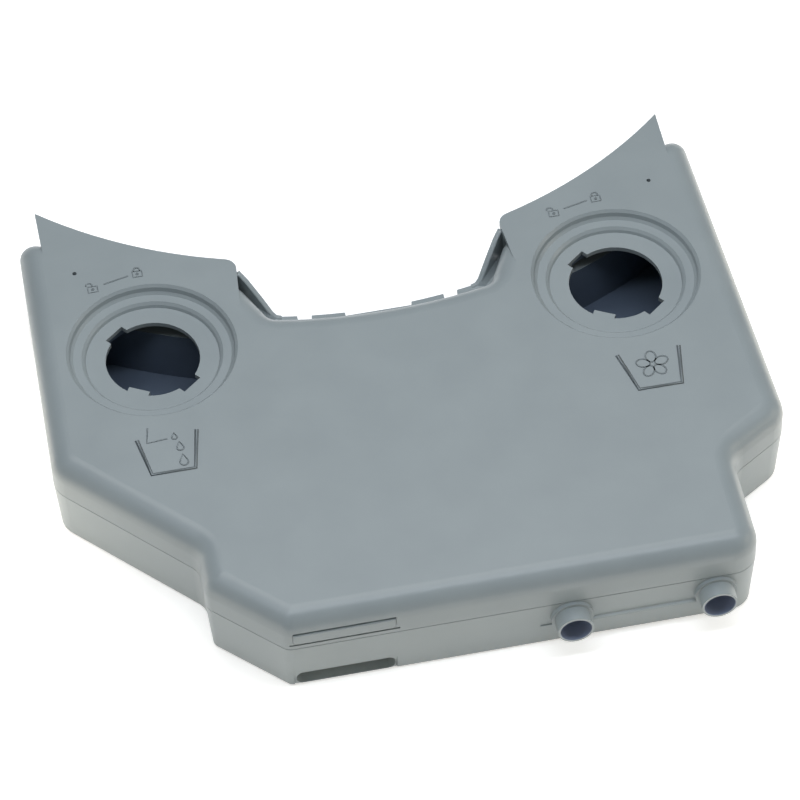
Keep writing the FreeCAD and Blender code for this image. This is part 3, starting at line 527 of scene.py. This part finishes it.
def padlock(x, y, open_shackle):
    """The paths of a padlock about 5 mm wide. An open one has its shackle swung to the side."""
    body = [(x - LOCK_HALF, y - LOCK_FOOT), (x + LOCK_HALF, y - LOCK_FOOT),
            (x + LOCK_HALF, y + LOCK_SHOULDER), (x - LOCK_HALF, y + LOCK_SHOULDER)]
    arch_x = x - SHACKLE_SWING if open_shackle else x
    shackle = ring_path(arch_x, y + SHACKLE_RISE, SHACKLE_WIDTH, SHACKLE_HEIGHT, steps=10, sweep=180.0)
    if not open_shackle:
        feet = [(x + side * SHACKLE_WIDTH / 2, y + LOCK_SHOULDER) for side in (1, -1)]
        shackle = feet[:1] + shackle + feet[1:]
    keyhole = ring_path(x, y - KEYHOLE_DROP, KEYHOLE, KEYHOLE, steps=8)
    return [(body, True), (shackle, False), (keyhole, True)]


def flower(x, y, petals, reach):
    """Petals round a centre, each an oval that leans outwards."""
    oval = ring_path(reach * PETAL_PLACE, 0.0, reach * PETAL_LENGTH, reach * PETAL_WIDTH, steps=14)
    paths = []
    for i in range(petals):
        angle = math.radians(90.0 + 360.0 * i / petals)
        along, aside = math.cos(angle), math.sin(angle)
        paths.append(([(x + u * along - v * aside, y + u * aside + v * along) for u, v in oval], True))
    return paths


def moulded_marks(name, paths, foot, crest):
    """One piece of low strokes along paths on the top face, given in millimetres."""
    points, edges = [], []
    for path, closed in paths:
        first = len(points)
        points += [(u / 1000, v / 1000, MARK_TOP + MARK_HEIGHT / 2) for u, v in path]
        edges += [(i, i + 1) for i in range(first, len(points) - 1)]
        if closed:
            edges.append((len(points) - 1, first))
    drawing = bpy.data.meshes.new(name)
    drawing.from_pydata(points, edges, [])
    given = {"Foot width": foot, "Crest width": crest, "Height": MARK_HEIGHT, "Finish": mark_finish}
    piece = grown_piece(name, mark_tree, drawing, given)
    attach(piece, "tank")


mark_tree = stroke_tree()
mark_finish = mark_plastic()
for side, unlock, lock in LOCKS:
    span = Vector(lock) - Vector(unlock)
    line = [tuple(Vector(unlock) + span * share) for share in LOCK_LINE]
    paths = padlock(*unlock, True) + padlock(*lock, False) + [(line, False)]
    moulded_marks(f"{side}_lock_marks", paths, FINE_FOOT, FINE_CREST)
moulded_marks("detergent_tub_mark", [(DETERGENT_TUB, False)], BROAD_FOOT, BROAD_CREST)
moulded_marks("softener_tub_mark", [(SOFTENER_TUB, False)], BROAD_FOOT, BROAD_CREST)
drops = [(drop_path(*drop), True) for drop in DROPS]
moulded_marks("detergent_drops_mark", [(SCOOP, False)] + drops, FINE_FOOT, FINE_CREST)
moulded_marks("softener_flower_mark", flower(111.8, -56.4, petals=5, reach=7.6), FINE_FOOT, FINE_CREST)


# The stage is a pale matte table in a dim pale room. A wide lamp stands behind, a cool strip hangs above the
# front and a warm card stands at the right. Low strips light the table round the tank, which throws soft
# light up on the leaning walls.

TABLE_HALF, TABLE_Z, TABLE_GREY, TABLE_LIFT = 6.0, -0.0002, 0.88, 0.45
ROOM_COLOUR, ROOM_STRENGTH = (0.94, 1.0, 0.98, 1), 0.16
COOL, WARM, WHITE = (0.88, 0.93, 1.0), (1.0, 0.90, 0.74), (1.0, 1.0, 1.0)
STRIP_Z = 0.042
LAMPS = (
    ("lamp_behind", (0.0, 0.3, 1.15), (0, -0.04, 0.03), (1.0, 0.6), 5.8, WHITE),
    ("strip_above", (0.0, -0.25, 1.15), (0, -0.10, 0.03), (1.6, 0.22), 7.0, COOL),
    ("card_at_right", (1.3, -0.35, 0.40), (0, -0.1, 0.02), (0.8, 0.4), 2.7, WARM),
    ("table_strip_front", (0.05, -0.27, STRIP_Z), (0.05, -0.27, 0.0), (0.5, 0.12), 0.205, WARM),
    ("table_strip_right", (0.27, -0.06, STRIP_Z), (0.27, -0.06, 0.0), (0.12, 0.4), 0.29, WARM),
    ("table_strip_left", (-0.25, -0.14, STRIP_Z), (-0.25, -0.14, 0.0), (0.12, 0.4), 0.32, WARM),
)

table = bpy.data.objects.new("table", bpy.data.meshes.new("table"))
table_corners = [(u * TABLE_HALF, v * TABLE_HALF, TABLE_Z) for u, v in ((-1, -1), (1, -1), (1, 1), (-1, 1))]
table.data.from_pydata(table_corners, [], [(0, 1, 2, 3)])
bpy.context.scene.collection.objects.link(table)
table_finish, wire = new_finish("table")
seen = wire.node("ShaderNodeLightPath", output="Is Camera Ray")
mirrored = wire.node("ShaderNodeLightPath", output="Is Glossy Ray")
through = wire.node("ShaderNodeLightPath", output="Is Transmission Ray")
lift = (seen + mirrored + through).clamp() * TABLE_LIFT
glow = wire.node("ShaderNodeEmission", None, {"Color": (1, 1, 1, 1), "Strength": lift})
matte = wire.node("ShaderNodeBsdfDiffuse", None, {"Color": (TABLE_GREY, TABLE_GREY, TABLE_GREY, 1)})
both = wire.node("ShaderNodeAddShader", None, {0: glow, 1: matte})
wire.node("ShaderNodeOutputMaterial", None, {"Surface": both})
table.data.materials.append(table_finish)

room = bpy.data.worlds.new("room")
room.use_nodes = True
room.node_tree.nodes.clear()
wire = Wire(room.node_tree)
air = wire.node("ShaderNodeBackground", None, {"Color": ROOM_COLOUR, "Strength": ROOM_STRENGTH})
wire.node("ShaderNodeOutputWorld", None, {"Surface": air})
bpy.context.scene.world = room

for name, place, target, (width, depth), power, colour in LAMPS:
    lamp = bpy.data.lights.new(name, "AREA")
    lamp.shape = "RECTANGLE"
    lamp.size, lamp.size_y = width, depth
    lamp.energy = power
    lamp.color = colour
    stand = bpy.data.objects.new(name, lamp)
    stand.location = place
    stand.rotation_euler = (Vector(target) - Vector(place)).to_track_quat("-Z", "Y").to_euler()
    bpy.context.scene.collection.objects.link(stand)


# The camera stands in front and a little to the left, looking down at the top,
# with a long lens and a slight roll. Slips are in pixels of the frame.

CAMERA_SIDE = math.radians(-9.8995)
CAMERA_RISE = math.radians(51.1911)
CAMERA_ROLL = math.radians(-1.7729)
CAMERA_REACH = 2.03163
FRAME_PIXELS, FOCAL_PIXELS = 800, 4489.91
MIDDLE = Vector((0.0, -0.05, 0.0255))
SLIP_ACROSS, SLIP_UP = 7.613, 25.960

back = Vector((math.sin(CAMERA_SIDE) * math.cos(CAMERA_RISE), -math.cos(CAMERA_SIDE) * math.cos(CAMERA_RISE),
               math.sin(CAMERA_RISE)))
level = Vector((math.cos(CAMERA_SIDE), math.sin(CAMERA_SIDE), 0.0))
rise = back.cross(level)
across = level * math.cos(CAMERA_ROLL) + rise * math.sin(CAMERA_ROLL)
upward = rise * math.cos(CAMERA_ROLL) - level * math.sin(CAMERA_ROLL)
eye = MIDDLE + back * CAMERA_REACH
pixel = CAMERA_REACH / FOCAL_PIXELS
aim = MIDDLE - across * SLIP_ACROSS * pixel + upward * SLIP_UP * pixel
forward = (aim - eye).normalized()
side_axis = forward.cross(upward).normalized()
up_axis = side_axis.cross(forward)
lens = bpy.data.cameras.new("camera")
lens.sensor_width = 36.0
lens.lens = FOCAL_PIXELS / FRAME_PIXELS * lens.sensor_width
lens.clip_start, lens.clip_end = 0.05, 50.0
camera = bpy.data.objects.new("camera", lens)
camera.matrix_world = Matrix.Translation(eye) @ Matrix((side_axis, up_axis, -forward)).transposed().to_4x4()
bpy.context.scene.collection.objects.link(camera)
bpy.context.scene.camera = camera
bpy.context.scene.view_settings.view_transform = "Standard"
